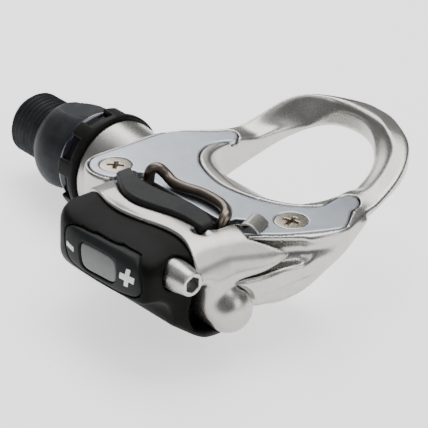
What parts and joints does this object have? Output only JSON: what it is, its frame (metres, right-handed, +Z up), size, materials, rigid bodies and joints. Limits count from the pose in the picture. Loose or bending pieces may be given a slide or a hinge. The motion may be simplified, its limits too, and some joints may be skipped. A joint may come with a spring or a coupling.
{
  "type": "clipless pedal",
  "caption": "Right-hand clipless road bicycle pedal with a toe loop, a sprung rear jaw with tension adjustment, and a spindle on bearings.",
  "frame": {"origin": "on the spindle axis, at the collar's shoulder that seats against the crank arm", "axes": "+X outboard along the spindle, +Y forward to the toe loop, +Z up to the rider's shoe"},
  "size_m": [0.0943, 0.0782, 0.029],
  "materials": {
    "spindle_steel": "dark graphite coating, worn bright on the thread crests",
    "bearing_steel": "ground",
    "zinc_steel": "zinc plated",
    "cage_plastic": "moulded",
    "sleeve_aluminium": "turned",
    "ring_plastic": "moulded, fine grain",
    "seal_rubber": "smooth, slightly glossy",
    "polished_aluminium": "polished casting",
    "plate_steel": "satin",
    "screw_nickel": "nickel plated",
    "clip_steel": "rolled strip",
    "pin_steel": "ground",
    "bush_plastic": "moulded",
    "forged_aluminium": "polished forging",
    "lip_steel": "dark phosphated",
    "cover_plastic": "satin",
    "label_plastic": "printed insert",
    "window_plastic": "clear lens",
    "screw_steel": "satin plated",
    "nut_steel": "yellow passivated",
    "spring_titanium": "drawn wire, brown heat tint"
  },
  "bodies": {
    "spindle": {"spindle": "spindle_steel", "spindle_nut": "zinc_steel", "lock_washer": "zinc_steel", "bearing_inner_races": "bearing_steel"},
    "ball_set": {"bearing_balls": "bearing_steel", "ball_cages": "cage_plastic"},
    "needle_set": {"needle_rollers": "bearing_steel", "needle_cage": "cage_plastic"},
    "pedal_body": {"pedal_body": "polished_aluminium", "top_plate": "plate_steel", "plate_screws": "screw_nickel", "edge_clip": "clip_steel", "lock_ring": "ring_plastic", "lip_seal": "seal_rubber", "bearing_outer_races": "bearing_steel", "needle_shell": "bearing_steel", "spacer_sleeve": "sleeve_aluminium", "pivot_bush": "bush_plastic", "jaw_spring": "spring_titanium"},
    "rear_jaw": {"rear_lever": "forged_aluminium", "jaw_lip": "lip_steel", "adjuster_cover": "cover_plastic", "indicator_plate": "label_plastic", "indicator_window": "window_plastic", "pivot_pin": "pin_steel", "pin_clip": "clip_steel", "screw_washer": "zinc_steel"},
    "tension_screw": {"tension_screw": "screw_steel", "screw_retainer": "clip_steel"},
    "tension_nut": {"tension_nut": "nut_steel"}
  },
  "joints": [
    {"name": "body_spin", "type": "hinge", "parent": "spindle", "child": "pedal_body", "pos_m": [0.045, 0, 0], "axis": [1, 0, 0], "continuous": true},
    {"name": "ball_spin", "type": "hinge", "parent": "spindle", "child": "ball_set", "pos_m": [0.0611, 0, 0], "axis": [1, 0, 0], "continuous": true},
    {"name": "needle_spin", "type": "hinge", "parent": "spindle", "child": "needle_set", "pos_m": [0.031, 0, 0], "axis": [1, 0, 0], "continuous": true},
    {"name": "jaw_hinge", "type": "hinge", "parent": "pedal_body", "child": "rear_jaw", "pos_m": [0.0553, -0.0188, -0.0009], "axis": [1, 0, 0], "range_deg": [0, 22], "stiffness_Nm_per_rad": 8, "springref_deg": -28.65, "deforming": ["jaw_spring"]},
    {"name": "screw_turn", "type": "hinge", "parent": "rear_jaw", "child": "tension_screw", "pos_m": [0.055, -0.0286, 0.0079], "axis": [1, 0, 0], "range_deg": [0, 2525]},
    {"name": "nut_slide", "type": "slide", "parent": "rear_jaw", "child": "tension_nut", "axis": [1, 0, 0], "range_m": [0, 0.0056]}
  ],
  "couplings": [
    {"joint": "ball_spin", "follows": "body_spin", "ratio": 0.6},
    {"joint": "needle_spin", "follows": "body_spin", "ratio": 0.5451},
    {"joint": "screw_turn", "follows": "nut_slide", "rad_per_m": 7854}
  ]
}
